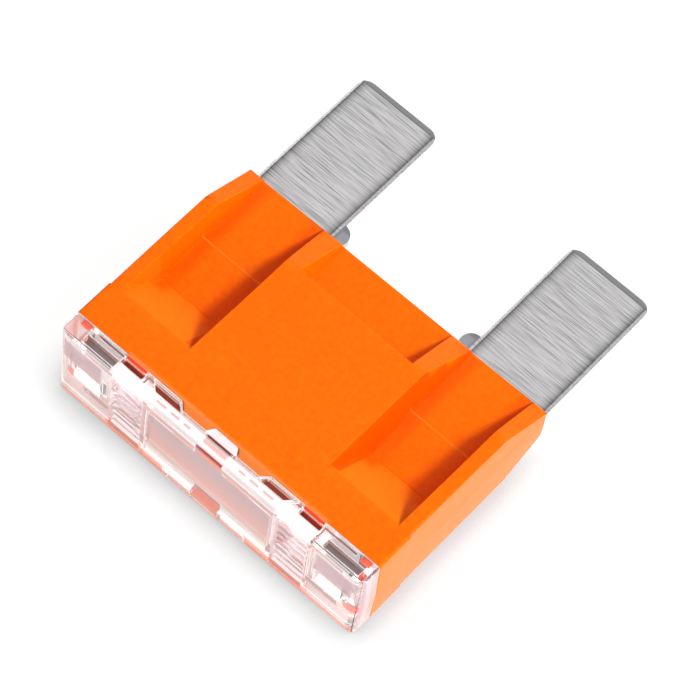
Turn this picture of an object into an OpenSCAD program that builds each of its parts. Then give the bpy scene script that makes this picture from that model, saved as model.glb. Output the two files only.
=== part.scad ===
// Plug-in blade fuse of the large size, lying on its broad face.
// X runs across the fuse, Y from the clear cover to the blade tips and Z up.
// The origin is under the middle of the fuse, on the surface that it lies on.

/* [Overall] */
// Width of the housing at its band, beside the cover
band_w = 29.2; // [28.4:0.1:31]
// Thickness of the housing at its band
body_t = 8.9; // [8.6:0.1:9.8]
// How far the clear cover stands in front of the joint
cover_reach = 1.9; // [1.8:0.1:2.4]
// Distance from the joint to the nose of the housing
nose_y = 18.7; // [18:0.1:21]
// Distance from the joint to the tips of the blades
blade_reach = 31.3; // [29:0.1:36]

/* [Housing outside] */
// Length of the full-thickness band
band_len = 3.3; // [2.8:0.05:3.8]
// How much narrower each side is behind the band
band_step = 0.1; // [0.05:0.01:0.2]
// How much each side leans in from the parting line to the broad face
side_draft = 0.14; // [0.05:0.01:0.3]
// Rounding of the long edges
edge_r = 0.3; // [0.2:0.05:0.6]
// Where the upper broad face starts to slope down to the nose
shoulder_y = 13.6; // [13:0.1:14.5]
// Height of that shoulder over the middle plane
shoulder_z = 4.17; // [3.9:0.01:4.3]
// Rounding of the two shoulders
shoulder_r = 2.2; // [1:0.1:3]
// Height of the upper nose edge over the middle plane
nose_z = 1.5; // [1.4:0.05:1.8]
// Rounding of the upper nose edge
nose_edge_r = 0.3; // [0.1:0.05:0.5]
// Where the lower broad face starts to slope up to the nose
under_shoulder_y = 14.7; // [14:0.1:15.2]
// Depth of that lower shoulder under the middle plane
under_shoulder_z = 4.35; // [4.2:0.01:4.4]
// Depth of the lower nose edge under the middle plane
under_nose_z = 2; // [1.8:0.05:2.2]
// Rounding of the lower nose edge
under_edge_r = 0.7; // [0.3:0.05:0.9]
// Rounding of the two nose corners, seen from above
nose_corner_r = 0.25; // [0.1:0.05:0.25]

/* [Pockets over the blades] */
// Width of the rim between a pocket and the side
rim_w = 1.3; // [1:0.1:1.6]
// Width of a pocket at the broad face
pocket_w = 6.7; // [6.2:0.1:7]
// Lean of the inner pocket wall in degrees
pocket_in_lean = 11; // [4:1:14]
// Lean of the outer pocket wall in degrees
pocket_out_lean = 3; // [1:1:6]
// Distance from the joint to the foot of the ramp
pocket_foot_y = 7.6; // [7:0.1:8.4]
// Height of that foot over the middle plane
pocket_foot_z = 0.95; // [0.85:0.05:1.2]
// Distance from the joint to the ridge in the pocket floor
pocket_ridge_y = 12; // [11:0.1:13]
// Height of that ridge over the middle plane
pocket_ridge_z = 1.45; // [1.2:0.05:1.8]
// Height of the pocket floor at the nose
pocket_nose_z = 1.28; // [1.1:0.01:1.4]

/* [Recess between the blades] */
// Width of the rib between a pocket and the recess
rib_w = 1.15; // [0.9:0.05:1.4]
// Distance from the joint to the recess
recess_y = 13.75; // [13.6:0.05:14.2]
// Height of the recess floor at its wall
recess_floor_z = 1.36; // [1.2:0.01:1.6]
// Lean of the recess walls in degrees
recess_lean = 2; // [1:1:5]

/* [Inside of the housing] */
// Depth of the wide mouth
mouth_len = 2.9; // [2.5:0.1:3.2]
// Width of the corner posts beside the mouth
post_w = 2.2; // [2:0.1:2.6]
// Thickness of the rim over and under the mouth
rim_t = 1.15; // [1:0.05:1.4]
// Half height of the two end slots beside the corner posts
end_slot_half_h = 1; // [0.8:0.05:1.1]
// Thickness of the side wall past the end slots
end_wall = 0.9; // [0.8:0.05:1.1]
// Thickness of the wall between the chamber of the link and a pocket
chamber_wall = 1; // [0.8:0.1:1.4]
// Half height of that chamber
chamber_half_h = 3; // [2.6:0.1:3.2]
// Distance from the joint to the end of the chamber
chamber_end = 12.3; // [11.5:0.1:12.4]
// Diameter of the four pegs that key the cover
peg_d = 0.85; // [0.7:0.05:0.9]
// Length of a peg
peg_len = 0.35; // [0.3:0.05:0.8]
// Distance from the side of the band to the middle of a peg
peg_inset = 1.25; // [1.1:0.05:1.4]
// Height of the two upper pegs over the middle plane
peg_high = 3.6; // [3.2:0.05:3.7]
// Depth of the two lower pegs under the middle plane
peg_low = 1.7; // [1.6:0.05:2]
// How far the four rim lands stand in front of the joint
land_reach = 0.55; // [0.3:0.05:0.7]
// Distance from the middle to the front inner corner of a land
land_in = 1.55; // [1.4:0.05:1.8]
// Width of a land along its front
land_w = 2.05; // [1.6:0.05:2.3]
// How much a land widens towards the middle, down to the joint
land_flare = 0.35; // [0.1:0.05:0.5]
// Height that the sloping top of a land loses
land_slope = 0.35; // [0.2:0.05:0.5]
// Distance from the broad face to the top of a latch lug
lug_drop = 0.6; // [0.55:0.05:0.7]
// How far the side lugs stand in front of the joint
lug_reach = 0.62; // [0.4:0.02:0.7]
// How far the middle lug stands in front of the joint
mid_lug_reach = 1.2; // [1:0.05:1.3]
// Half width of the middle lug
mid_lug_half_w = 1.1; // [0.9:0.05:1.15]

/* [Cover] */
// Thickness of the cover's walls
cover_wall = 1.1; // [0.9:0.1:1.3]
// Bevel along the long edges of the front face
cover_bevel = 0.2; // [0.1:0.05:0.4]
// Rounding of the two ends of the cover, seen from above
cover_corner_r = 1; // [0.5:0.1:1.2]
// Depth of the window recess in the front face
window_depth = 0.4; // [0.3:0.05:0.5]
// Half height of the window
window_half_h = 3.1; // [2.8:0.05:3.4]
// Thickness of the window pane
pane_t = 0.6; // [0.4:0.05:0.8]
// Half width of the notches that bare the middle lugs over and under the window
notch_half_w = 1.3; // [1.2:0.05:1.6]
// Width of the frame between the window and a grip panel
frame_w = 0.5; // [0.4:0.05:0.7]
// Width of a grip panel
grip_w = 3; // [2.8:0.05:3.2]
// Distance from the side of the cover to a grip panel
grip_inset = 5.2; // [5:0.05:5.4]
// Half height of a grip panel
grip_half_h = 3.8; // [3.2:0.05:3.9]
// Depth of a grip panel
grip_depth = 0.65; // [0.5:0.05:0.7]
// Number of ribs in a grip panel
grip_ribs = 8; // [5:1:10]
// Height of a grip rib
grip_rib_h = 0.3; // [0.2:0.05:0.35]
// Half width of the probe aperture over each test tab
probe_half_w = 1.25; // [1:0.05:1.4]
// Half height of the probe aperture
probe_half_h = 0.95; // [0.6:0.05:1]
// Thickness of the tongues that the cover plugs in with
tongue_t = 0.8; // [0.6:0.05:0.9]
// Length of those tongues
tongue_len = 2.4; // [2:0.1:2.4]
// Height of the snap ridge on a tongue
snap_h = 0.25; // [0.15:0.05:0.35]
// Length of the snap ridge along the tongue
snap_len = 0.9; // [0.6:0.1:1]
// Distance from the end of a tongue to its snap ridge
snap_lead = 0.2; // [0.1:0.05:0.3]

/* [Openings in the cover's edge] */
// Distance from the joint to the back of the openings
port_back = 0.28; // [0.2:0.02:0.4]
// Width of the openings along Y
port_len = 0.55; // [0.4:0.05:0.7]
// Width of the clear bridge between a land and a slanted opening
bridge_w = 0.35; // [0.3:0.05:0.6]
// Width of the block between a slanted and a square opening
block_w = 0.8; // [0.6:0.05:1]
// Width of a square opening
port_w = 2.05; // [1.6:0.05:2.3]
// Distance from the side of the cover to a square opening
port_inset = 5.1; // [4.9:0.05:5.3]
// Half width of the slit in the middle
slit_half_w = 1.1; // [0.9:0.05:1.15]
// Width of that slit along Y
slit_len = 0.16; // [0.1:0.02:0.3]
// Distance from the joint to the slit
slit_back = 0.72; // [0.6:0.02:0.9]

/* [Fuse element] */
// Thickness of the sheet
blade_t = 0.8; // [0.7:0.02:0.86]
// Width of a blade
blade_w = 7.6; // [7.2:0.1:8]
// Wall between a blade and the side of the housing
blade_margin = 0.3; // [0.3:0.05:0.6]
// Rounding of the blade tips, seen from above
blade_tip_r = 1; // [0.5:0.1:1.5]
// Width of the coined bevel along a blade
coin_w = 0.28; // [0.1:0.02:0.5]
// Depth of the coined bevel
coin_d = 0.2; // [0.1:0.02:0.3]
// Length of the bevel at the tip
tip_coin_w = 0.6; // [0.3:0.05:1]
// Radius of the staked ears beside the nose
ear_r = 1; // [0.8:0.05:1.2]
// Distance from the nose to the middle of an ear
ear_y = 0.85; // [0.6:0.05:1]
// How far the middle of an ear lies outside the inner edge of its blade
ear_x = 0; // [0:0.05:0.5]
// Distance from the joint to the inner shoulder of a blade
root_y = 1.2; // [1:0.1:1.5]
// Width of a test tab
tab_w = 3.3; // [2.8:0.1:3.3]
// How far a test tab stands in front of the joint
tab_reach = 0.7; // [0.5:0.1:0.9]
// Distance from the outer edge of a blade to its test tab
tab_inset = 0.95; // [0.7:0.05:1]
// Distance between the hoop of the link and a blade
link_margin = 2.1; // [1.9:0.1:2.4]
// Width of the link
link_w = 1.5; // [1.2:0.1:1.8]
// Thickness of the link
link_t = 0.4; // [0.3:0.05:0.6]
// Distance from the joint to the centre of the hoop
link_y = 6.3; // [6:0.1:6.6]
// Length of the legs behind the hoop
leg_len = 3.1; // [2.6:0.1:3.6]
// Width of the thin place that melts
neck_w = 0.7; // [0.5:0.05:0.9]

/* [Fits] */
// Clearance round the element in the housing
slot_gap = 0.05; // [0.03:0.01:0.08]
// Clearance between the cover and the housing
cover_gap = 0.05; // [0.03:0.01:0.08]

/* [Hidden] */
$fn = 40;
corner_steps = 4;
// Reach of a cut past the face that it opens
past = 1;
half_t = body_t / 2;
half_band = band_w / 2;
half_body = half_band - band_step;
total_len = cover_reach + blade_reach;
joint_y = cover_reach - total_len / 2;
pocket_out = half_band - rim_w;
pocket_in = pocket_out - pocket_w;
recess_half_w = pocket_in - rib_w;
chamber_half_w = pocket_in - chamber_wall;
blade_out = half_body - blade_margin;
blade_in = blade_out - blade_w;
link_r = blade_in - link_margin;
tab_out = blade_out - tab_inset;
tab_in = tab_out - tab_w;
ear_centre = [blade_in + ear_x, nose_y + ear_y];
mouth_half_w = half_band - post_w;
mouth_half_h = half_t - rim_t;
end_slot_out = half_band - end_wall;
peg_x = half_band - peg_inset;
land_out = land_in + land_w;
// How far the lands and lugs reach back into the rim
rim_root = 0.3;
lug_top = half_t - lug_drop;
grip_out = half_band - grip_inset;
grip_in = grip_out - grip_w;
window_half_w = grip_in - frame_w;
window_floor = window_depth - cover_reach;
pane_back = window_floor + pane_t;
port_out = half_band - port_inset;
port_in = port_out - port_w;
port_front = port_back + port_len;
tongue_half_w = mouth_half_w - cover_gap;
tongue_top = mouth_half_h - cover_gap;
snap_y = tongue_len - snap_len - snap_lead;

function unit(v) = v / norm(v);

// One corner p of an outline, between its neighbours a and b, rounded to radius r
function corner_points(a, p, b, r) =
    r <= 0 ? [p] :
    let (
        u = unit(a - p),
        v = unit(b - p),
        half = acos(u * v) / 2,
        centre = p + unit(u + v) * r / sin(half),
        first = p + u * r / tan(half) - centre,
        last = p + v * r / tan(half) - centre,
        from = atan2(first.y, first.x),
        turn = (atan2(last.y, last.x) - from + 540) % 360 - 180
    )
    [for (i = [0 : corner_steps])
        let (angle = from + turn * i / corner_steps)
        centre + r * [cos(angle), sin(angle)]];

// An outline from corners given as [x, y, radius]
function rounded(corners) =
    let (n = len(corners))
    [for (i = [0 : n - 1])
        let (
            a = corners[(i + n - 1) % n],
            p = corners[i],
            b = corners[(i + 1) % n]
        )
        each corner_points([a.x, a.y], [p.x, p.y], [b.x, b.y], p.z)];

// A rectangle round the origin with equal corners
function rounded_rect(half_w, half_h, r) =
    rounded([[-half_w, -half_h, r], [half_w, -half_h, r], [half_w, half_h, r], [-half_w, half_h, r]]);

// End view of the housing: the sides lean in from the parting line to both faces
function end_outline(half_w) = rounded([
    [-half_w + side_draft, -half_t, edge_r],
    [half_w - side_draft, -half_t, edge_r],
    [half_w, 0, 0],
    [half_w - side_draft, half_t, edge_r],
    [-half_w + side_draft, half_t, edge_r],
    [-half_w, 0, 0],
]);

// An outline in X and Z, drawn out from y0 to y1
module along_y(y0, y1) {
    translate([0, y1, 0])
        rotate([90, 0, 0])
            linear_extrude(height = y1 - y0)
                children();
}

// An outline in Y and Z, drawn out from x0 to x1
module along_x(x0, x1) {
    translate([x0, 0, 0])
        rotate([90, 0, 90])
            linear_extrude(height = x1 - x0)
                children();
}

// An outline in X and Y, drawn out to a half thickness on both sides
module along_z(half) {
    linear_extrude(height = 2 * half, center = true)
        children();
}

module left_and_right() {
    children();
    mirror([1, 0, 0])
        children();
}

module top_and_bottom() {
    children();
    mirror([0, 0, 1])
        children();
}

module box(low, high) {
    translate(low)
        cube(high - low);
}

// Moves a piece from the middle of the joint to its place over the origin
module placed() {
    translate([0, joint_y, half_t])
        children();
}

// The moulded block before its pockets: band, long body and sloping nose
module housing_block() {
    corner_r = min(nose_corner_r, blade_margin - slot_gap);
    along_y(0, band_len)
        polygon(end_outline(half_band));
    intersection() {
        along_y(0, nose_y)
            polygon(end_outline(half_body));
        along_x(-half_band, half_band)
            polygon(rounded([
                [0, -half_t, 0],
                [band_len, -half_t, 0],
                [under_shoulder_y, -under_shoulder_z, shoulder_r],
                [nose_y, -under_nose_z, under_edge_r],
                [nose_y, nose_z, nose_edge_r],
                [shoulder_y, shoulder_z, shoulder_r],
                [band_len, half_t, 0],
                [0, half_t, 0],
            ]));
        along_z(half_t)
            polygon(rounded([
                [-half_body, 0, 0],
                [half_body, 0, 0],
                [half_body, nose_y, corner_r],
                [-half_body, nose_y, corner_r],
            ]));
    }
}

// The pocket over one blade: a ramp, a floor that rises to a ridge, and a flat to the nose
module pocket() {
    in_slope = tan(pocket_in_lean);
    out_slope = tan(pocket_out_lean);
    intersection() {
        along_x(0, half_band)
            polygon([
                [band_len, half_t],
                [pocket_foot_y, pocket_foot_z],
                [pocket_ridge_y, pocket_ridge_z],
                [nose_y, pocket_nose_z],
                [nose_y + past, pocket_nose_z],
                [nose_y + past, half_t + past],
                [band_len, half_t + past],
            ]);
        along_y(0, nose_y + past)
            polygon([
                [pocket_in - in_slope * past, half_t + past],
                [pocket_in + in_slope * half_t, 0],
                [pocket_out - out_slope * half_t, 0],
                [pocket_out + out_slope * past, half_t + past],
            ]);
    }
}

// The recess between the blades, open to the nose
module recess() {
    slope = tan(recess_lean);
    drop = half_t - recess_floor_z;
    intersection() {
        along_x(-half_band, half_band)
            polygon([
                [recess_y - slope * past, half_t + past],
                [recess_y + slope * drop, recess_floor_z],
                [nose_y, pocket_nose_z],
                [nose_y + past, pocket_nose_z],
                [nose_y + past, half_t + past],
            ]);
        along_y(0, nose_y + past)
            polygon([
                [-recess_half_w - slope * past, half_t + past],
                [-recess_half_w + slope * half_t, 0],
                [recess_half_w - slope * half_t, 0],
                [recess_half_w + slope * past, half_t + past],
            ]);
    }
}

// The mouth behind the cover, the chamber round the link and the slots of the blades
module housing_hollow() {
    slot_h = blade_t / 2 + slot_gap;
    box([-mouth_half_w, -past, -mouth_half_h], [mouth_half_w, mouth_len, mouth_half_h]);
    box([-end_slot_out, -past, -end_slot_half_h], [end_slot_out, mouth_len, end_slot_half_h]);
    box([-chamber_half_w, 0, -chamber_half_h], [chamber_half_w, chamber_end, chamber_half_h]);
    left_and_right() {
        box([blade_in - slot_gap, root_y - slot_gap, -slot_h], [blade_out + slot_gap, nose_y + past, slot_h]);
        box([chamber_half_w - past, mouth_len, -slot_h], [blade_in, chamber_end, slot_h]);
        translate(ear_centre)
            cylinder(r = ear_r + slot_gap, h = 2 * slot_h, center = true);
    }
}

// A land seen from above, grown by a clearance for its notch in the cover
module land_plan(gap) {
    side = 2 * gap;
    polygon([
        [land_in - land_flare - side, rim_root],
        [land_in - land_flare - side, 0],
        [land_in - side, -land_reach - gap],
        [land_out + side, -land_reach - gap],
        [land_out + land_reach + side, 0],
        [land_out + land_reach + side, rim_root],
    ]);
}

// One land: the rim steps forward between the cover's tabs, with a sloping top
module land() {
    intersection() {
        along_z(half_t)
            land_plan(0);
        along_x(0, half_band)
            polygon([
                [rim_root, mouth_half_h],
                [rim_root, half_t],
                [0, half_t],
                [-land_reach, half_t - land_slope],
                [-land_reach, mouth_half_h],
            ]);
    }
}

// Outlines from above of a slanted and a square opening, or of the lugs that stand in them
module port_plan(front, back, gap) {
    slant_in = land_out + land_reach + bridge_w + gap;
    slant_out = port_in - block_w + port_back - gap;
    polygon([
        [slant_in - back, -back],
        [slant_out - back, -back],
        [slant_out - front, -front],
        [slant_in - front, -front],
    ]);
    translate([port_in + gap, -front])
        square([port_w - 2 * gap, front - back]);
}

// The latch lugs on one half of the upper rim
module lugs() {
    height = lug_top - mouth_half_h;
    translate([0, 0, mouth_half_h])
        linear_extrude(height = height)
            port_plan(lug_reach, -rim_root, cover_gap);
    box([0, -mid_lug_reach, mouth_half_h], [mid_lug_half_w, rim_root, lug_top]);
}

// The upper and the lower peg on a corner post, which let the cover go on one way up only
module pegs() {
    for (z = [-peg_low, peg_high])
        translate([peg_x, rim_root, z])
            rotate([90, 0, 0])
                cylinder(d = peg_d, h = rim_root + peg_len);
}

module housing() {
    color("darkorange")
        placed() {
            difference() {
                housing_block();
                top_and_bottom() {
                    left_and_right()
                        pocket();
                    recess();
                }
                housing_hollow();
                top_and_bottom()
                    snap_groove();
            }
            left_and_right() {
                pegs();
                top_and_bottom() {
                    land();
                    lugs();
                }
            }
        }
}

// Side view of a snap ridge, grown by a clearance for its groove
module snap_outline(gap) {
    polygon([
        [snap_y - gap, tongue_top - cover_gap],
        [snap_y - gap, tongue_top + gap],
        [snap_y + snap_len / 3, tongue_top + snap_h + gap],
        [snap_y + snap_len / 2, tongue_top + snap_h + gap],
        [snap_y + snap_len + gap, tongue_top + gap],
        [snap_y + snap_len + gap, tongue_top - cover_gap],
    ]);
}

module snap_groove() {
    along_x(-land_out - cover_gap, land_out + cover_gap)
        snap_outline(cover_gap);
}

// The clear block in front of the joint, rounded at its ends and bevelled along its front
module cover_block() {
    front = -cover_reach;
    intersection() {
        along_y(front, 0)
            polygon(end_outline(half_band));
        along_x(-half_band, half_band)
            polygon([
                [0, -half_t],
                [front + cover_bevel, -half_t],
                [front, -half_t + cover_bevel],
                [front, half_t - cover_bevel],
                [front + cover_bevel, half_t],
                [0, half_t],
            ]);
        along_z(half_t)
            polygon(rounded([
                [-half_band, 0, 0],
                [-half_band, front, cover_corner_r],
                [half_band, front, cover_corner_r],
                [half_band, 0, 0],
            ]));
    }
}

// What is sunk into the front face: the window, its two notches, the grips and the probe apertures
module cover_front_cuts() {
    open = -cover_reach - past;
    probe_x = (tab_in + tab_out) / 2;
    box([-window_half_w, open, -window_half_h], [window_half_w, window_floor, window_half_h]);
    top_and_bottom()
        box([-notch_half_w, open, window_half_h], [notch_half_w, -mid_lug_reach, lug_top + cover_gap]);
    left_and_right() {
        grip_cut();
        box([probe_x - probe_half_w, open, -probe_half_h], [probe_x + probe_half_w, -tab_reach, probe_half_h]);
    }
}

// One grip panel: a shallow tray with stepped ribs that run across it
module grip_cut() {
    floor_y = grip_depth - cover_reach;
    pitch = 2 * grip_half_h / grip_ribs;
    difference() {
        box([grip_in, floor_y - grip_depth - past, -grip_half_h], [grip_out, floor_y, grip_half_h]);
        for (i = [0 : grip_ribs - 1])
            translate([0, floor_y, -grip_half_h + i * pitch])
                along_x(grip_in, grip_out)
                    polygon([
                        [past, 0],
                        [0, 0],
                        [-grip_rib_h, pitch / 2],
                        [0, pitch / 2],
                        [past, pitch / 2],
                    ]);
    }
}

// One half of the upper edge: pockets for the lugs, openings over them and half of the slit
module cover_ports() {
    lug_room = lug_top + cover_gap;
    translate([0, 0, tongue_top])
        linear_extrude(height = lug_room - tongue_top)
            port_plan(port_front, -past, 0);
    box([0, -mid_lug_reach - cover_gap, tongue_top], [mid_lug_half_w + cover_gap, past, lug_room]);
    translate([0, 0, tongue_top])
        linear_extrude(height = half_t)
            port_plan(port_front, port_back, 0);
    box([0, -slit_back - slit_len, tongue_top], [slit_half_w, -slit_back, half_t + past]);
}

// What is hollow behind the front face
module cover_back_cuts() {
    room = half_t - cover_wall;
    box([-window_half_w, pane_back, -room], [window_half_w, past, room]);
    left_and_right() {
        box([port_in, pane_back, -room], [port_out, past, room]);
        box([tab_in - cover_gap, -tab_reach - cover_gap, -end_slot_half_h],
            [tab_out + cover_gap, past, end_slot_half_h]);
        for (z = [-peg_low, peg_high])
            translate([peg_x, past, z])
                rotate([90, 0, 0])
                    cylinder(d = peg_d + 2 * cover_gap, h = peg_len + past + cover_gap);
        top_and_bottom() {
            cover_ports();
            intersection() {
                along_z(half_t + past)
                    land_plan(cover_gap);
                box([0, -past, room], [half_band, past, half_t + past]);
            }
        }
    }
}

// One of the two tongues that hold the cover in the mouth
module tongue() {
    box([-tongue_half_w, -cover_wall, tongue_top - tongue_t], [tongue_half_w, tongue_len, tongue_top]);
    along_x(-land_out, land_out)
        snap_outline(0);
}

module cover() {
    color("mistyrose", 0.6)
        placed() {
            difference() {
                cover_block();
                cover_front_cuts();
                cover_back_cuts();
            }
            top_and_bottom()
                tongue();
        }
}

// One blade with its coined edges and rounded tip
module blade() {
    half = blade_t / 2;
    low = half - coin_d;
    intersection() {
        along_z(half)
            polygon(rounded([
                [blade_in, root_y, 0],
                [blade_out, root_y, 0],
                [blade_out, blade_reach, blade_tip_r],
                [blade_in, blade_reach, blade_tip_r],
            ]));
        along_y(0, blade_reach)
            polygon([
                [blade_in, -low],
                [blade_in + coin_w, -half],
                [blade_out - coin_w, -half],
                [blade_out, -low],
                [blade_out, low],
                [blade_out - coin_w, half],
                [blade_in + coin_w, half],
                [blade_in, low],
            ]);
        along_x(0, half_band)
            polygon([
                [0, -half],
                [blade_reach - tip_coin_w, -half],
                [blade_reach, -low],
                [blade_reach, low],
                [blade_reach - tip_coin_w, half],
                [0, half],
            ]);
    }
}

// The link that melts: a hoop between the blades, thinned at its crown
module link() {
    leg_end = link_y + leg_len;
    along_z(link_t / 2)
        difference() {
            union() {
                intersection() {
                    translate([0, link_y])
                        circle(r = link_r);
                    translate([-link_r, link_y - link_r])
                        square([2 * link_r, link_r]);
                }
                translate([-link_r, link_y])
                    square([2 * link_r, leg_len]);
                translate([-blade_in - coin_w - slot_gap, leg_end - link_w])
                    square([2 * (blade_in + coin_w + slot_gap), link_w]);
            }
            translate([0, link_y])
                circle(r = link_r - link_w);
            translate([-link_r + link_w, link_y])
                square([2 * (link_r - link_w), leg_len + past]);
            translate([0, link_y - link_r])
                circle(r = link_w - neck_w);
        }
}

module fuse_element() {
    color("silver")
        placed() {
            left_and_right() {
                blade();
                translate(ear_centre)
                    cylinder(r = ear_r, h = blade_t, center = true);
                box([tab_in, -tab_reach, -blade_t / 2], [tab_out, root_y + coin_w, blade_t / 2]);
            }
            link();
        }
}

housing();
cover();
fuse_element();
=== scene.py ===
# %% [markdown]
# A large plug-in blade fuse lies on its broad face in a bright studio. It has three pieces: a
# moulded orange housing, a clear cover that snaps into its mouth, and one stamped metal element
# whose two blades stick out of the nose. This lesson loads the three solids, sets the camera and
# the light, and then gives each piece fine edges and a finish.

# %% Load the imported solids
import bpy, bmesh, math
from mathutils import Matrix, Vector


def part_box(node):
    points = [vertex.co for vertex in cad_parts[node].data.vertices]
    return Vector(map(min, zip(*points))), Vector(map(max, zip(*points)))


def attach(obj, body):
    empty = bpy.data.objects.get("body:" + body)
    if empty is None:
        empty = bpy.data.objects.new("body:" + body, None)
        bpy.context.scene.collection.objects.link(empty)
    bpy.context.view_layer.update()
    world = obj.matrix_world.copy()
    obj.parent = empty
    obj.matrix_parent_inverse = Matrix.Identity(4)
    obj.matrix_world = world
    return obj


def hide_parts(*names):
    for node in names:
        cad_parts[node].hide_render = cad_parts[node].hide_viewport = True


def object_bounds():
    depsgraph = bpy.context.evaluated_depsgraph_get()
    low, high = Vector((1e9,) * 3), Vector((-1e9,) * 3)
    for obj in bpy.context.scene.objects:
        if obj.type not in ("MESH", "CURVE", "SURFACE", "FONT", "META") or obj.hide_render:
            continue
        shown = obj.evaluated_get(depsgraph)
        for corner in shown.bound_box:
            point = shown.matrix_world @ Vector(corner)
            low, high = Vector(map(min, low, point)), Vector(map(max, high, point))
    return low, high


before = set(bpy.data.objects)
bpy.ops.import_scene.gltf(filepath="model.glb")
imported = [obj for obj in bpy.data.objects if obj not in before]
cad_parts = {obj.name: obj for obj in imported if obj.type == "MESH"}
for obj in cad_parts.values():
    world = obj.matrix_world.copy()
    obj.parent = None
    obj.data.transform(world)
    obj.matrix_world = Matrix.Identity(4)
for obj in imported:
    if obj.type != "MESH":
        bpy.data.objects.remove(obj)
mm = 0.001
cad_low, cad_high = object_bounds()
scene = bpy.context.scene
print("nodes:", sorted(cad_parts))
print("size in mm:", [round(v / mm, 2) for v in cad_high - cad_low])

# %% [markdown]
# The photograph was taken with a long lens from high over the front right corner. The joint
# between the cover and the housing is the plane that every length of the fuse starts from, so the
# camera is placed from the middle of that joint. Three turns bring the fuse's axes to the
# camera's, and a shift then moves it back along the line of sight.

# %% Camera
joint_to_nose = 18.7 * mm
joint_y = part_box("housing")[1].y - joint_to_nose
half_t = (cad_high.z - cad_low.z) / 2
joint = Vector((0, joint_y, half_t))
turns = (-32.327, -27.7, -10.52)
shift = Vector((-9.034, -8.201, -275.545)) * mm
lens_mm = 198.56
sensor_mm = 36

def turn_matrix(first, tilt, roll):
    """Turn about Z, tilt about X, then roll about Z again, in degrees."""
    return (Matrix.Rotation(math.radians(roll), 3, "Z")
            @ Matrix.Rotation(math.radians(tilt), 3, "X")
            @ Matrix.Rotation(math.radians(first), 3, "Z"))

to_camera = turn_matrix(*turns)
camera_data = bpy.data.cameras.new("photo_camera")
camera_data.sensor_width = sensor_mm
camera_data.lens = lens_mm
camera_data.clip_start, camera_data.clip_end = 0.01, 5
camera = bpy.data.objects.new("photo_camera", camera_data)
camera.matrix_world = (Matrix.Translation(joint - to_camera.transposed() @ shift)
                       @ to_camera.transposed().to_4x4())
scene.collection.objects.link(camera)
scene.camera = camera
print("camera at", [round(v, 4) for v in camera.location])

# %% [markdown]
# Every finish below is a tree of shader nodes. A few helpers keep those trees short: one adds a
# node and sets or links its inputs, and the others stand for the nodes that come up most, such as
# a sum, a change of range or a colour ramp.

# %% Helpers for materials
def new_material(name):
    """An empty node material and its node tree."""
    material = bpy.data.materials.new(name)
    material.use_nodes = True
    tree = material.node_tree
    tree.nodes.clear()
    return material, tree

def add(tree, kind, inputs=None, **settings):
    """A shader node with its settings, and with its inputs set to values or linked to sockets."""
    node = tree.nodes.new(kind)
    for key, value in settings.items():
        setattr(node, key, value)
    for key, value in (inputs or {}).items():
        if isinstance(value, bpy.types.NodeSocket):
            tree.links.new(value, node.inputs[key])
        else:
            node.inputs[key].default_value = value
    return node

def calc(tree, operation, *values, kind="ShaderNodeMath"):
    """The result of one Math or Vector Math node."""
    return add(tree, kind, dict(enumerate(values)), operation=operation).outputs[0]

def remap(tree, value, source, target):
    """A value moved from one range to another and held inside it."""
    node = add(tree, "ShaderNodeMapRange", {
        "Value": value, "From Min": source[0], "From Max": source[1],
        "To Min": target[0], "To Max": target[1]})
    return node.outputs["Result"]

def ramp(tree, value, stops):
    """A colour ramp over a value, with a stop at each place, in rising order."""
    node = add(tree, "ShaderNodeValToRGB", {"Fac": value})
    elements = node.color_ramp.elements
    while len(elements) < len(stops):
        elements.new(1)
    for element, (place, colour) in zip(elements, stops):
        element.position = place
        element.color = colour
    return node.outputs["Color"]

# %% Helpers for colours
def linear(red, green, blue):
    """A screen colour from 0 to 255, turned into the linear colour that nodes use."""
    def one(c):
        c = c / 255
        return c / 12.92 if c <= 0.04045 else ((c + 0.055) / 1.055) ** 2.4
    return (one(red), one(green), one(blue), 1)

def grey(level):
    """A grey of one linear level, which also serves as a share from 0 to 1."""
    return (level, level, level, 1)

print("half of white on the screen is", round(linear(128, 128, 128)[0], 3), "in linear light")

# %% [markdown]
# A catalogue picture has no horizon: floor and surroundings are one white. The floor is a wide
# plane of pale paint. A reflection or clear plastic that looks at it sees a white glow added to
# the paint. The camera sees mostly a glow that fades where the fuse comes close to the floor, and
# that keeps the narrow soft shadow that the photograph shows along the cover and the right side.

# %% Floor paint
def ray_strength(tree, other, camera, glossy, through):
    """A strength for rays from the camera, a reflection or clear plastic, and for the others."""
    path = add(tree, "ShaderNodeLightPath")
    level = other
    for kind, value in (("Is Camera Ray", camera), ("Is Glossy Ray", glossy),
                        ("Is Transmission Ray", through)):
        step = add(tree, "ShaderNodeMix", {"Factor": path.outputs[kind], "A": level, "B": value})
        level = step.outputs["Result"]
    return level

near_reach = 3 * mm
glow_share = 0.85
white = grey(1)

floor_paint, tree = new_material("white_floor")
paint = add(tree, "ShaderNodeBsdfDiffuse", {"Color": grey(0.75)})
strength = ray_strength(tree, 0.5, camera=0.0, glossy=1.0, through=0.9)
glow = add(tree, "ShaderNodeEmission", {"Color": white, "Strength": strength})
lit = add(tree, "ShaderNodeAddShader", {0: paint.outputs[0], 1: glow.outputs[0]})
near = add(tree, "ShaderNodeAmbientOcclusion", {"Distance": near_reach}, samples=4)
shade = remap(tree, near.outputs["AO"], (0.5, 0.85), (0.55, 1.12))
seen = add(tree, "ShaderNodeEmission", {"Color": white, "Strength": shade})
path = add(tree, "ShaderNodeLightPath")
share = calc(tree, "MULTIPLY", path.outputs["Is Camera Ray"], glow_share)
both = add(tree, "ShaderNodeMixShader", {0: share, 1: lit.outputs[0], 2: seen.outputs[0]})
add(tree, "ShaderNodeOutputMaterial", {"Surface": both.outputs[0]})
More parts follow.
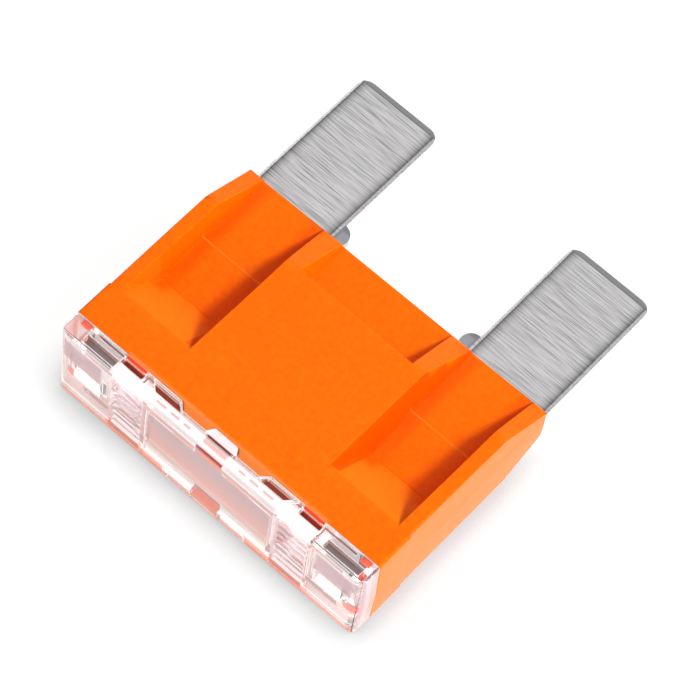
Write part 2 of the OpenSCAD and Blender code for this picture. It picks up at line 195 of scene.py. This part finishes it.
print("floor material:", floor_paint.name)

# %% Floor
floor_gap = 0.02 * mm
floor_half = 1.5

bm = bmesh.new()
bmesh.ops.create_grid(bm, x_segments=1, y_segments=1, size=floor_half)
mesh = bpy.data.meshes.new("floor")
bm.to_mesh(mesh)
bm.free()
mesh.transform(Matrix.Translation((0, 0, cad_low.z - floor_gap)))
mesh.materials.append(floor_paint)
floor = bpy.data.objects.new("floor", mesh)
scene.collection.objects.link(floor)
print("floor", round(floor_gap / mm, 3), "mm under the fuse")

# %% [markdown]
# In the photograph the pocket floors beside the walls that look left lie in shadow, so the key
# light stands high on the right. The right side of the fuse is its brightest face, and a broad
# lamp low on the right lights it. The world gives the rest. All three stay at a plain level, and
# metal and clear plastic mirror only the world and the floor, which keeps them free of hot spots.

# %% World
world = bpy.data.worlds.new("studio")
scene.world = world
world.use_nodes = True
tree = world.node_tree
tree.nodes.clear()
sky = add(tree, "ShaderNodeTexCoord")
height = add(tree, "ShaderNodeSeparateXYZ", {"Vector": sky.outputs["Generated"]})
ceiling = remap(tree, height.outputs["Z"], (0.3, 0.9), (0.55, 0.85))
level = ray_strength(tree, 0.45, camera=1.0, glossy=ceiling, through=1.0)
background = add(tree, "ShaderNodeBackground", {"Color": white, "Strength": level})
add(tree, "ShaderNodeOutputWorld", {"Surface": background.outputs[0]})
print("world:", world.name)

# %% Lights
def lamp(name, direction, distance, size, power):
    """A square area light that looks at the fuse from a direction."""
    data = bpy.data.lights.new(name, "AREA")
    data.size = size
    data.energy = power
    place = Vector(direction).normalized()
    light = bpy.data.objects.new(name, data)
    light.matrix_world = (Matrix.Translation(place * distance)
                          @ place.to_track_quat("Z", "Y").to_matrix().to_4x4())
    light.visible_glossy = False
    scene.collection.objects.link(light)

lamp("key", direction=(0.75, 0.3, 1.0), distance=0.5, size=0.12, power=2.3)
lamp("side", direction=(1.0, 0.1, 0.25), distance=0.6, size=0.4, power=0.9)

# %% [markdown]
# The solids arrive as loose triangles with knife-sharp edges. A real moulding or stamping has
# tiny rounded edges that catch the light as thin bright lines. Each piece is therefore a copy of
# its solid: merged, freed of the flat triangles, and bevelled where two faces meet at a real edge.
# The copy stands for the solid, which stays in place for the physics. A float attribute marks the
# rounded edges, so that a material can treat them in its own way.

# %% Copies with fine edges
merge_within = 0.5e-6
in_plane_within = 1e-6
flat_within = math.radians(0.6)
crease_from = math.radians(40)
least_angle = 28
least_length = 1.5

def finished_copy(node, name, edge, keep_sharp=None, air_gap=0):
    """A merged copy of a solid whose edges are rounded over a small width.
    keep_sharp is a test on an edge's two ends for edges too close to others for that width.
    air_gap draws the faces in the joint plane back, so that a film of air lies behind them."""
    bm = bmesh.new()
    bm.from_mesh(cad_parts[node].data)
    bmesh.ops.remove_doubles(bm, verts=bm.verts, dist=merge_within)
    in_joint = [v for v in bm.verts if abs(v.co.y - joint_y) < in_plane_within]
    bmesh.ops.translate(bm, verts=in_joint, vec=(0, -air_gap, 0))
    bmesh.ops.dissolve_limit(bm, angle_limit=flat_within, verts=bm.verts, edges=bm.edges)
    edges = [e for e in bm.edges if e.is_manifold
             and math.degrees(e.calc_face_angle(0)) > least_angle
             and e.calc_length() > least_length * edge
             and not (keep_sharp and all(keep_sharp(v.co) for v in e.verts))]
    rounded = bmesh.ops.bevel(bm, geom=edges, offset=edge, offset_type="OFFSET", segments=2,
                              profile=0.5, affect="EDGES", material=-1, clamp_overlap=False)
    bmesh.ops.recalc_face_normals(bm, faces=bm.faces)
    on_edge = bm.loops.layers.float.new("edge")
    for face in rounded["faces"]:
        for loop in face.loops:
            loop[on_edge] = 1
    mesh = bpy.data.meshes.new(name)
    bm.to_mesh(mesh)
    bm.free()
    mesh.shade_smooth()
    mesh.set_sharp_from_angle(angle=crease_from)
    piece = bpy.data.objects.new(name, mesh)
    scene.collection.objects.link(piece)
    normals = piece.modifiers.new("flat_faces", "WEIGHTED_NORMAL")
    normals.keep_sharp = True
    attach(piece, "root")
    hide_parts(node)
    print(name, "faces:", len(mesh.polygons), "bevelled edges:", len(edges))
    return piece

# %% [markdown]
# Two node groups serve all the finishes. The first makes noise at two scales, a slow mottling and
# the fine grain of a mould. The second turns a box into a mask, so that a place on the fuse can
# take another colour or gloss. Both read the Object coordinates, so nothing slides when the part
# moves.

# %% Shared groups
def new_group(name, inputs, outputs):
    """A node group with its sockets: inputs with their first values, and float outputs."""
    group = bpy.data.node_groups.new(name, "ShaderNodeTree")
    for label, value in inputs.items():
        kind = "NodeSocketVector" if isinstance(value, tuple) else "NodeSocketFloat"
        socket = group.interface.new_socket(label, in_out="INPUT", socket_type=kind)
        socket.default_value = value
    for label in outputs:
        group.interface.new_socket(label, in_out="OUTPUT", socket_type="NodeSocketFloat")
    return group

def grain_group():
    """Noise at two scales: a slow mottling mask and a fine height."""
    group = new_group("moulded_grain", {"Mottle Scale": 900, "Grain Scale": 5000},
                      ["Mottle", "Grain"])
    inputs = add(group, "NodeGroupInput")
    where = add(group, "ShaderNodeTexCoord")
    slow = add(group, "ShaderNodeTexNoise", {"Vector": where.outputs["Object"], "Detail": 3,
                                             "Scale": inputs.outputs["Mottle Scale"]})
    fine = add(group, "ShaderNodeTexNoise", {"Vector": where.outputs["Object"], "Detail": 2,
                                             "Scale": inputs.outputs["Grain Scale"]})
    add(group, "NodeGroupOutput", {"Mottle": slow.outputs["Fac"], "Grain": fine.outputs["Fac"]})
    return group

def zone_group():
    """A mask that is 1 inside a box, measured in millimetres from the middle of the joint.
    X counts on both sides, so one box marks the left and the right half of the fuse."""
    group = new_group("zone", {"Middle": (0, 0, 0), "Half Size": (1, 1, 1), "Soft": 0.02},
                      ["Mask"])
    inputs = add(group, "NodeGroupInput")
    where = add(group, "ShaderNodeTexCoord")
    place = add(group, "ShaderNodeMapping", {
        "Vector": where.outputs["Object"], "Scale": (1 / mm,) * 3,
        "Location": tuple(-joint / mm)})
    parts = add(group, "ShaderNodeSeparateXYZ", {"Vector": place.outputs["Vector"]})
    across = calc(group, "ABSOLUTE", parts.outputs["X"])
    half = add(group, "ShaderNodeCombineXYZ", {
        "X": across, "Y": parts.outputs["Y"], "Z": parts.outputs["Z"]})
    vector = "ShaderNodeVectorMath"
    offset = calc(group, "SUBTRACT", half.outputs[0], inputs.outputs["Middle"], kind=vector)
    away = calc(group, "ABSOLUTE", offset, kind=vector)
    inside = calc(group, "SUBTRACT", inputs.outputs["Half Size"], away, kind=vector)
    depth = add(group, "ShaderNodeSeparateXYZ", {"Vector": inside})
    least = calc(group, "MINIMUM", depth.outputs["X"], depth.outputs["Y"])
    least = calc(group, "MINIMUM", least, depth.outputs["Z"])
    mask = remap(group, least, (0, inputs.outputs["Soft"]), (0, 1))
    add(group, "NodeGroupOutput", {"Mask": mask})
    return group

grain = grain_group()
zone = zone_group()
print("groups:", grain.name, zone.name)

# %% Painting a box
def painted(tree, under, zones):
    """The colour under, with the colour of each zone laid over it in turn.
    A zone is a box between two corners, in millimetres from the middle of the joint, then its
    colour, and if need be the width of its soft border."""
    for low, high, over, soft in [(*zone_row, 0.02)[:4] for zone_row in zones]:
        box = add(tree, "ShaderNodeGroup", {
            "Middle": [(a + b) / 2 for a, b in zip(low, high)],
            "Half Size": [(b - a) / 2 for a, b in zip(low, high)], "Soft": soft}, node_tree=zone)
        mix = add(tree, "ShaderNodeMix", {0: box.outputs["Mask"], 6: under, 7: over},
                  data_type="RGBA")
        under = mix.outputs[2]
    return under

def below(z):
    """The corners of a box that holds the whole fuse up to a height."""
    far = 20
    return (-far, -far, -far), (far, far, z)

# %% [markdown]
# The housing is a glass-filled nylon: a strong orange with a slightly mottled, almost matt skin.
# The coarse noise moves the colour and the gloss a little, and the fine one is the grain of the
# mould. Boxes paint light and shade into its colour: painted shade on the pocket walls, on the
# pocket floors beside them, in the crease at the foot of each ramp and on the latch lugs seen
# through the cover; painted highlights on the ramps, the ridges and the lands along the joint; a
# painted reflection on the joint face behind the cover's ends; and a painted glow on the pegs.

# %% Places on the housing
wall_painted_shade = linear(241, 84, 0)
floor_painted_shade = linear(240, 90, 0)
peg_colour_and_glow = linear(240, 70, 12)
peg_ends = ((12.8, -0.4, -4), (13.9, -0.04, 4.2))

# Painted highlight: the ramps of the pockets are lighter.
pocket_ramp = [((6.9, 3.2, 0.9), (13.4, 7.6, 4.4), linear(250, 117, 12), 0.2)]
# Painted shade: the pocket floors beside the walls are darker and redder.
floor_sides = [((6.5, 3.3, 0.6), (8.6, 18.9, 2.2), floor_painted_shade, 0.8),
               ((11.8, 3.3, 0.6), (13.5, 18.9, 2.2), floor_painted_shade, 0.8)]
# Painted shade: the inner walls of the pockets are darker and redder.
inner_wall = [((6.58, 3.6, 0.5), (7.4, 14.2, 4.42), wall_painted_shade, 0.1),
              ((6.8, 14.1, 0.5), (7.4, 16.1, 4.42), wall_painted_shade, 0.1),
              ((7.0, 16, 0.5), (7.4, 18.9, 4.42), wall_painted_shade, 0.1)]
# A painted highlight along the ridge of each pocket floor, and painted shade in the crease at the
# foot of its ramp.
ridge_and_foot = [((7.1, 11.9, 1), (13.3, 12.1, 2), linear(253, 128, 36), 0.08),
                  ((7.2, 7.5, 0.8), (13.3, 7.7, 1.2), linear(240, 98, 0), 0.08)]
parting_line = [((14.3, 3.3, -0.06), (14.8, 18, 0.06), linear(222, 92, 20), 0.04)]
# Painted highlight: the lands and the strip along the joint are lighter.
land_painted_highlight = [((-1, -9, 3.4), (9.6, 0.35, 5), linear(251, 138, 66), 0.3)]
# Painted shade on the latch lugs seen through the cover's openings.
lug_painted_shade = [((3.9, -0.7, 3), (7.1, -0.02, 3.9), linear(140, 62, 46)),
              ((7.4, -0.7, 3), (9.6, -0.02, 3.9), linear(205, 60, 14)),
              ((7.4, -0.7, 3), (9.6, -0.3, 3.9), linear(120, 42, 28)),
              ((-1, -1.3, 3), (1.2, -0.02, 3.9), linear(140, 45, 32))]
# Painted reflection: the joint face behind the cover's ends is pale pink, greyer mauve in its
# upper half.
joint_face_painted_reflection = [((9.6, -0.02, -4.5), (14.7, 0.02, 4.5), linear(232, 205, 200)),
              ((9.6, -0.02, 0.3), (13.9, 0.02, 4.5), linear(206, 190, 198))]
housing_zones = [*pocket_ramp, *floor_sides, *inner_wall, *ridge_and_foot, *parting_line,
                 *land_painted_highlight, *lug_painted_shade, *joint_face_painted_reflection, (*peg_ends, peg_colour_and_glow)]
print("places on the housing:", len(housing_zones))

# %% Orange moulding
def orange_moulding():
    """Matt orange plastic. The pegs behind the cover's ends get a faint painted glow in their
    orange.
    """
    material, tree = new_material("orange_moulding")
    skin = add(tree, "ShaderNodeGroup", {"Mottle Scale": 2400, "Grain Scale": 6000},
               node_tree=grain)
    mottle = skin.outputs["Mottle"]
    colour = ramp(tree, mottle, [(0.3, linear(243, 103, 0)), (0.7, linear(252, 113, 1))])
    rough = remap(tree, mottle, (0.3, 0.7), (0.4, 0.5))
    bump = add(tree, "ShaderNodeBump", {"Height": skin.outputs["Grain"], "Strength": 0.25,
                                        "Distance": 0.02 * mm})
    shades = painted(tree, colour, housing_zones)
    # A painted glow on the pegs, in their orange.
    peg_glow = painted(tree, grey(0), [(*peg_ends, peg_colour_and_glow)])
    shader = add(tree, "ShaderNodeBsdfPrincipled", {
        "Base Color": shades, "Roughness": rough, "Normal": bump.outputs["Normal"],
        "IOR": 1.5, "Specular IOR Level": 0.12,
        "Emission Color": peg_glow, "Emission Strength": 0.45,
        "Subsurface Weight": 0.4, "Subsurface Scale": 0.5 * mm,
        "Subsurface Radius": (1.0, 0.25, 0.05)})
    add(tree, "ShaderNodeOutputMaterial", {"Surface": shader.outputs[0]})
    return material

# %% Housing
housing_edge = 0.06 * mm
band_end = joint_y + 3.3 * mm
beside_band = 0.3 * mm
housing = finished_copy("housing", "housing_moulding", housing_edge,
                        keep_sharp=lambda p: abs(p.y - band_end) < beside_band)
housing.data.materials.append(orange_moulding())
print(housing.name, "has", housing.data.materials[0].name)

# %% [markdown]
# The cover is clear polycarbonate. Light bends strongly in it, so most of what it shows is the
# white floor below and orange glints of the housing behind. Its window is frosted. Over the clear
# plastic, a second, milky shader paints light and shade into the cover and glows a little: painted
# highlights on its tiny edges and pale places, painted shade in dark slits and notches, and
# painted reflections of the orange housing and the metal behind it. A mask says how much of it
# each place gets. The places are boxes in millimetres from the middle of the joint.

# %% Places on the cover
peg_holes = [((12.8, -0.5, 3.0), (13.9, 0.1, 4.2)), ((12.8, -0.5, -2.3), (13.9, 0.1, -1.1)),
             ((12.8, -1.88, -0.94), (12.9, -0.65, 0.94))]
window_pane = ((-1, -1.6, -3.2), (6.0, -0.8, 3.2))
grip_panel = ((6.35, -2.0, -3.85), (9.45, -1.1, 3.85))
foot_edge = ((4.0, -1.95, -4.4), (9.7, -1.6, -3.2))
foot_end = ((9.6, -1.95, -4.4), (14.4, -1.6, -3.7))
foot_line = ((4.0, -2, -4.5), (14.4, -1.5, -4.0))
brow = ((9.9, -2.6, 0.7), (14.4, -1.2, 3.9))
end_face = ((14.35, -1.9, -4.2), (15, 0, 4.2))
end_rear = ((14.35, -0.85, -4.2), (15, 0.4, 4.2))
port_strip = ((7.5, -0.3, 4.3), (9.45, -0.05, 4.6))
front_roof = ((-1, -2, 4.2), (9.6, -0.92, 4.5))
middle_tab = ((-1, -0.7, 4.3), (1.4, 0.1, 4.5))
slit = ((-1, -0.9, 3.8), (1.12, -0.7, 4.42))
middle_band = ((-1, -1.44, 4.4), (1.1, -1.04, 4.5))
middle_line = ((-1, -1.04, 4.4), (1.1, -0.96, 4.5))
upper_notch = ((-1, -2.2, 3.85), (1.3, -1.65, 4.42))
under_notch = ((-1.5, -2, 2.3), (1.3, -1, 3.4))
lower_notch = ((-1, -1.95, -4.05), (1.35, -1.15, -3.85))
notch_sill = ((-1, -2.3, -4.5), (1.35, -1.55, -3.6))
over_lower_notch = ((-1, -1.6, -3.2), (1.3, -1.4, -2.5))
dashes = [((start, -1.42, 4.4), (end, -1.18, 4.5))
          for start, end in ((2.3, 2.95), (3.35, 4.2), (4.6, 5.6))]
behind_tab = ((9.7, -0.1, 1), (12.7, 0, 4.3))

# %% Colours and shares of the painted light on the cover
# Painted shade in the window: mauve-grey at its top, warmer in its middle and light at its foot.
window_top, window_middle, window_foot = (
    linear(172, 146, 148), linear(212, 157, 145), linear(240, 236, 230))
# Painted reflection of the orange housing along the foot of the front face.
foot_pink = linear(236, 138, 108)

def painted_light_zones(pane_shades):
    """The painted light, shade and reflected colour of the milky shader in each place."""
    # Painted highlights on the grip panel, the middle tab and the notch sill; painted shade in the
    # end face, brow, foot line, slit, middle line, upper notch and over the lower notch; painted
    # reflections of the orange housing at the end rear, port strip, foot, dashes, middle band and
    # notches.
    return [
        (*window_pane, pane_shades), (*grip_panel, linear(236, 224, 230)),
        (*end_face, linear(186, 152, 160)), (*end_rear, linear(222, 118, 66), 0.3),
        (*port_strip, linear(212, 62, 16)),
        (*foot_edge, foot_pink), (*foot_end, foot_pink),
        (*foot_line, linear(195, 112, 86), 0.2), (*brow, linear(160, 120, 124), 0.5),
        *[(*dash, linear(205, 130, 118), 0.08) for dash in dashes],
        (*middle_tab, linear(240, 228, 232)), (*slit, linear(110, 50, 45)),
        (*middle_band, linear(215, 105, 80), 0.08), (*middle_line, linear(120, 85, 78)),
        (*upper_notch, linear(150, 50, 30), 0.1), (*under_notch, linear(250, 120, 75), 0.3),
        (*lower_notch, linear(245, 145, 118)), (*notch_sill, linear(250, 200, 178), 0.4),
        (*over_lower_notch, linear(190, 130, 125), 0.1)]

painted_light_shares = [
    (*window_pane, grey(0.6)), (*grip_panel, grey(0.35)), (*foot_edge, grey(0.75)),
    (*foot_end, grey(0.75)), (*foot_line, grey(0.7)), (*brow, grey(0.6), 0.5),
    (*end_face, grey(0.7)), (*port_strip, grey(1)),
    (*front_roof, grey(0.6)), (*behind_tab, grey(0.4)),
    (*middle_tab, grey(0.7)), (*slit, grey(0.8)), (*middle_band, grey(0.8)),
    (*middle_line, grey(0.8)), (*upper_notch, grey(0.85)), (*under_notch, grey(0.75), 0.3),
    (*lower_notch, grey(0.85)), (*over_lower_notch, grey(0.7), 0.1)]
print("hazy places on the cover:", len(painted_light_shares))

# %% Clear plastic
def glass_shader(tree):
    """The clear part of the plastic, with a faint waviness, a frosted window and a faint pink
    painted glow.
    """
    skin = add(tree, "ShaderNodeGroup", {"Mottle Scale": 700}, node_tree=grain)
    smooth = remap(tree, skin.outputs["Mottle"], (0.3, 0.7), (0.02, 0.07))
    rough = painted(tree, smooth, [(*window_pane, grey(0.3))])
    bump = add(tree, "ShaderNodeBump", {"Height": skin.outputs["Mottle"], "Strength": 0.15,
                                        "Distance": 0.02 * mm})
    glass = add(tree, "ShaderNodeBsdfPrincipled", {
        "Base Color": (0.985, 0.955, 0.95, 1), "Roughness": rough,
        "Normal": bump.outputs["Normal"], "IOR": 1.58, "Transmission Weight": 1.0,
        "Emission Color": (1.0, 0.85, 0.83, 1), "Emission Strength": 0.04})
    return glass.outputs[0]

def painted_light_shader(tree):
    """Milky plastic with painted light, shade and glow; the window darker at its top."""
    pane_shades = painted(tree, window_top, [
        (*below(1.5), window_middle, 3.5), (*below(-1.6), window_foot, 1.3)])
    colour = painted(tree, linear(255, 248, 248), painted_light_zones(pane_shades))
    painted_milk = add(tree, "ShaderNodeBsdfPrincipled", {
        "Base Color": colour, "Roughness": 0.5, "Specular IOR Level": 0.2,
        "Emission Color": colour, "Emission Strength": 0.35})
    return painted_milk.outputs[0]

def clear_plastic():
    """Clear plastic mixed by place with painted light. Shadow and diffuse rays pass straight
    through.
    """
    material, tree = new_material("clear_cover")
    glass = glass_shader(tree)
    edge = add(tree, "ShaderNodeAttribute", attribute_name="edge")
    # Painted highlight: half of the milky shader on every rounded edge.
    on_edge = calc(tree, "MULTIPLY", edge.outputs["Fac"], 0.5)
    share_of_painted_light = painted(tree, on_edge, painted_light_shares)
    body = add(tree, "ShaderNodeMixShader", {0: share_of_painted_light, 1: glass, 2: painted_light_shader(tree)})
    path = add(tree, "ShaderNodeLightPath")
    passed = calc(tree, "MAXIMUM", path.outputs["Is Shadow Ray"], path.outputs["Is Diffuse Ray"])
    holes = painted(tree, passed, [(*box, grey(1)) for box in peg_holes])
    clear = add(tree, "ShaderNodeBsdfTransparent", {"Color": (0.97, 0.94, 0.93, 1)})
    mix = add(tree, "ShaderNodeMixShader", {0: holes, 1: body.outputs[0], 2: clear.outputs[0]})
    add(tree, "ShaderNodeOutputMaterial", {"Surface": mix.outputs[0]})
    return material

# %% Clear cover
cover_edge = 0.05 * mm
air_film = 0.03 * mm
slit_half, slit_reach = 1.2 * mm, 1.3 * mm
cover = finished_copy("cover", "cover_moulding", cover_edge, air_gap=air_film,
                      keep_sharp=lambda p: abs(p.x) < slit_half and p.y > joint_y - slit_reach)
cover.data.materials.append(clear_plastic())
print(cover.name, "has", cover.data.materials[0].name)

# %% [markdown]
# The element is zinc alloy sheet. It was brushed across before it was stamped, so its fine lines
# run along X. A noise that is stretched along X makes them. The coining tool pressed a bevel along
# both edges of a blade, and the face beside that bevel dips. A ramp over the distance from the
# middle of the blade paints the shade of that dip as a dark line. Boxes paint more light and
# shade: painted shade on the test tab behind the cover, the blade roots, the ears and the tip
# bevels, lighter blade sides, and a painted highlight in the ears.

# %% Places on the element
blade_middle = 10.4 * mm
border_reach = 4
border_shade_levels = ((2.7, 1.0), (3.0, 0.87), (3.2, 0.72), (3.36, 0.52), (3.44, 0.34), (3.53, 0.34),
                 (3.56, 1.0))
painted_side_sheen = linear(214, 211, 202)
# The parts inside the housing are a dull grey; the test tab behind the cover gets a painted dark
# brown shade and reflection.
inner_part_and_tab_shade = [((-1, -9, -2), (20, 18, 2), linear(190, 189, 191)),
              ((9, -0.8, -1), (14, -0.02, 1), linear(92, 72, 76))]
# Painted shade: the blade roots beside the nose are darker.
blade_root = [((6.6, 18, 0.38), (14.2, 19.8, 0.5), linear(160, 163, 170), 0.3)]
# Painted highlight: the narrow sides of the blades are lighter.
blade_sides = [((6.3, 20.6, -0.22), (6.64, 31, 0.22), painted_side_sheen),
               ((14.16, 18, -0.22), (14.4, 31, 0.22), painted_side_sheen)]
# Painted shade on the ears, with a lighter painted highlight in their inner parts.
ears = [((4, 18.6, -1), (6.65, 20.7, 1), linear(150, 149, 153)),
        ((5.4, 18.6, -1), (6.65, 20.2, 1), linear(178, 180, 188), 0.3)]
# Painted shade on the tip bevels, darkest along their inner edge.
tip_bevel = [((6, 30.72, 0.1), (15, 31.4, 1), linear(170, 169, 169)),
             ((6, 30.72, 0.1), (15, 30.88, 1), linear(152, 151, 153))]
element_zones = [*inner_part_and_tab_shade, *blade_root, *blade_sides, *ears, *tip_bevel]
print("places on the element:", len(element_zones))

# %% Zinc sheet
def painted_border_shade(tree, across):
    """A share of light for each distance from the middle of a blade, in millimetres."""
    aside = calc(tree, "SUBTRACT", calc(tree, "ABSOLUTE", across), blade_middle)
    share = calc(tree, "DIVIDE", calc(tree, "ABSOLUTE", aside), border_reach * mm)
    return ramp(tree, share, [(at / border_reach, grey(level)) for at, level in border_shade_levels])

def zinc_sheet():
    """Bright sheet with fine lines along X, in which only the inner parts are dull."""
    material, tree = new_material("zinc_sheet")
    where = add(tree, "ShaderNodeTexCoord")
    long_lines = add(tree, "ShaderNodeMapping", {"Vector": where.outputs["Object"],
                                                 "Scale": (400, 18000, 18000)})
    lines = add(tree, "ShaderNodeTexNoise", {"Vector": long_lines.outputs["Vector"], "Scale": 1.0,
                                             "Detail": 1, "Roughness": 0.4}).outputs["Fac"]
    colour = ramp(tree, lines, [(0.3, linear(176, 175, 177)), (0.56, linear(234, 232, 233))])
    rough = remap(tree, lines, (0.3, 0.7), (0.5, 0.36))
    bump = add(tree, "ShaderNodeBump", {"Height": lines, "Strength": 0.2, "Distance": 0.01 * mm})
    parts = add(tree, "ShaderNodeSeparateXYZ", {"Vector": where.outputs["Object"]})
    # Painted shade: a dark line on the face beside each coined bevel.
    border = painted_border_shade(tree, parts.outputs["X"])
    darker = add(tree, "ShaderNodeMix", {0: 1.0, 6: colour, 7: border},
                 data_type="RGBA", blend_type="MULTIPLY")
    shades = painted(tree, darker.outputs[2], element_zones)
    shader = add(tree, "ShaderNodeBsdfPrincipled", {
        "Base Color": shades, "Roughness": rough, "Normal": bump.outputs["Normal"],
        "Metallic": 1.0})
    add(tree, "ShaderNodeOutputMaterial", {"Surface": shader.outputs[0]})
    return material

# %% Zinc element
element_edge = 0.04 * mm
element = finished_copy("fuse_element", "element_stamping", element_edge)
element.data.materials.append(zinc_sheet())
print(element.name, "has", element.data.materials[0].name)

# %% [markdown]
# Last, the view transform is set to Standard, so that a colour shows about as it is written.

# %% View transform
scene.view_settings.view_transform = "Standard"
